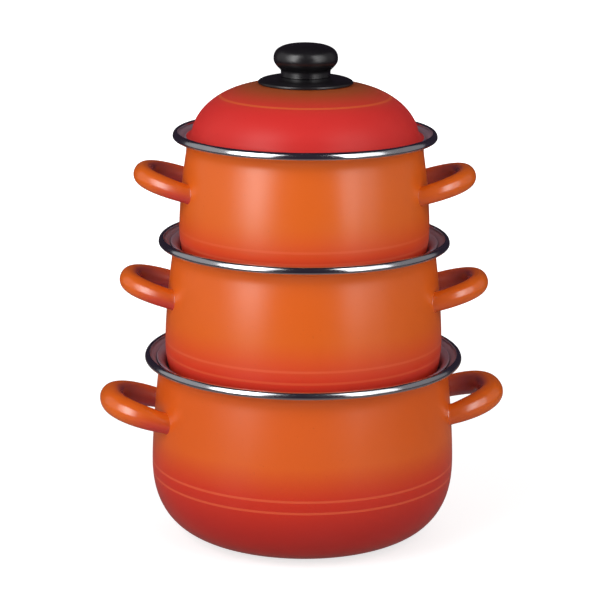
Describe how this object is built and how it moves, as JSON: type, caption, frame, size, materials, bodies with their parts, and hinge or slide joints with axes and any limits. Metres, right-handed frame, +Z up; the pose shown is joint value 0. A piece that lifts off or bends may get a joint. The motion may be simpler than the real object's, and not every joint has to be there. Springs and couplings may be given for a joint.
{
  "type": "stacked casserole set",
  "caption": "Nesting round enamel casseroles stacked for storage, with looped handles and steel rims; each pot lifts out of the turned-over lid below, and a knobbed lid covers the top.",
  "frame": {"origin": "centre of the bottom pot's foot, on the surface that it stands on", "axes": "+Z up the stack, +X through the right-hand handles of the two upper pots, -Y towards the viewer of the picture"},
  "size_m": [0.2836, 0.2216, 0.3441],
  "materials": {
    "orange_enamel": "glossy vitreous enamel on pressed steel, orange shading to red at the foot, dark inside",
    "red_enamel": "glossy vitreous enamel on pressed steel, red with an orange crown, dark inside",
    "polished_steel": "mirror polished",
    "black_resin": "moulded, semi-gloss",
    "plated_steel": "zinc plated",
    "brass": "turned"
  },
  "bodies": {
    "pot_20": {"pot_20_body": "orange_enamel", "pot_20_rim_band": "polished_steel", "pot_20_handle_right": "orange_enamel", "pot_20_handle_left": "orange_enamel"},
    "lid_20": {"lid_20_shell": "red_enamel", "lid_20_knob_skirt": "black_resin", "lid_20_knob": "black_resin", "lid_20_knob_insert": "brass", "lid_20_washer": "plated_steel", "lid_20_screw": "plated_steel"},
    "pot_18": {"pot_18_body": "orange_enamel", "pot_18_rim_band": "polished_steel", "pot_18_handle_right": "orange_enamel", "pot_18_handle_left": "orange_enamel"},
    "lid_18": {"lid_18_shell": "red_enamel", "lid_18_knob_skirt": "black_resin", "lid_18_knob": "black_resin", "lid_18_knob_insert": "brass", "lid_18_washer": "plated_steel", "lid_18_screw": "plated_steel"},
    "pot_16": {"pot_16_body": "orange_enamel", "pot_16_rim_band": "polished_steel", "pot_16_handle_right": "orange_enamel", "pot_16_handle_left": "orange_enamel"},
    "lid_16": {"lid_16_shell": "red_enamel", "lid_16_knob_skirt": "black_resin", "lid_16_knob": "black_resin", "lid_16_knob_insert": "brass", "lid_16_washer": "plated_steel", "lid_16_screw": "plated_steel"}
  },
  "joints": [
    {"name": "lift_lid_20", "type": "slide", "parent": "pot_20", "child": "lid_20", "axis": [0, 0, 1], "range_m": [0, 0.15]},
    {"name": "lift_pot_18", "type": "slide", "parent": "lid_20", "child": "pot_18", "axis": [0, 0, 1], "range_m": [0, 0.08]},
    {"name": "lift_lid_18", "type": "slide", "parent": "pot_18", "child": "lid_18", "axis": [0, 0, 1], "range_m": [0, 0.15]},
    {"name": "lift_pot_16", "type": "slide", "parent": "lid_18", "child": "pot_16", "axis": [0, 0, 1], "range_m": [0, 0.08]},
    {"name": "lift_lid_16", "type": "slide", "parent": "pot_16", "child": "lid_16", "axis": [0, 0, 1], "range_m": [0, 0.1]}
  ]
}
